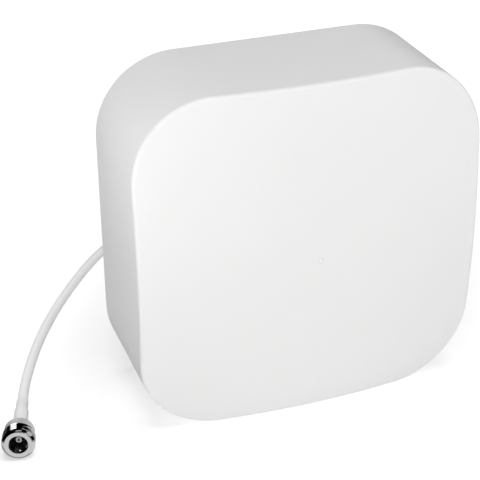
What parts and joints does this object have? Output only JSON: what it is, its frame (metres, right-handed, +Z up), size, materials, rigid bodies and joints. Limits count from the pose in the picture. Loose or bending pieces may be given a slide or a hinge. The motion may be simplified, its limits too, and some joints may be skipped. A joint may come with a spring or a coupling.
{
  "type": "cellular booster panel antenna",
  "caption": "White domed square indoor panel antenna for a cellular signal booster, wall-hung by keyholes, with a coax pigtail ending in a threaded N jack.",
  "frame": {"origin": "middle of the bottom side that the housing stands on, halfway between the back rim and the crown of the front, on the floor", "axes": "+Z up, +Y out of the flat back towards the wall, -Y out of the domed front, +X to the right as seen from the front"},
  "size_m": [0.2372, 0.2175, 0.17],
  "materials": {
    "radome_shell": "fine satin, moulded white ABS",
    "cover_shell": "fine matt texture, moulded white ABS",
    "steel_screw": "zinc-plated thread-forming screws",
    "sheet_aluminium": "mill-finish sheet with folded edges",
    "patch_brass": "rolled brass sheet",
    "nylon": "natural nylon",
    "turned_aluminium": "turned, lightly ringed",
    "ptfe": "PTFE",
    "cable_jacket": "white PVC jacket, slight sheen",
    "tinned_braid": "tinned copper braid",
    "copper": "bare copper",
    "tinned_strip": "tinned steel strip",
    "solder": "bright solder",
    "relief_rubber": "white flexible PVC",
    "sleeve": "white heat-shrink, soft sheen",
    "nickel": "bright nickel plate",
    "dark_insulator": "dark moulded insulator, deep in the bore",
    "contact_silver": "silver-plated contact"
  },
  "bodies": {
    "root": {"radome": "radome_shell", "back_cover": "cover_shell", "cover_screws": "steel_screw", "tray_screws": "steel_screw", "spacer_screws": "steel_screw", "clamp_screws": "steel_screw", "reflector_tray": "sheet_aluminium", "lower_patch": "patch_brass", "upper_patch": "patch_brass", "feed_strip": "patch_brass", "feed_rivets": "patch_brass", "lower_spacers": "nylon", "upper_spacers": "nylon", "patch_screws": "nylon", "post_screw": "steel_screw", "centre_post": "turned_aluminium", "feed_bush": "ptfe", "coax_jacket": "cable_jacket", "cable_end": "cable_jacket", "pigtail_cable": "cable_jacket", "coax_braid": "tinned_braid", "coax_dielectric": "ptfe", "coax_conductor": "copper", "coax_saddle": "tinned_strip", "ground_clamp": "tinned_strip", "solder_joints": "solder", "strain_relief": "relief_rubber", "gland_nut": "nylon", "heat_shrink": "sleeve", "crimp_ferrule": "nickel", "jack_body": "nickel", "jack_insulator": "dark_insulator", "jack_contact": "contact_silver"}
  },
  "joints": []
}
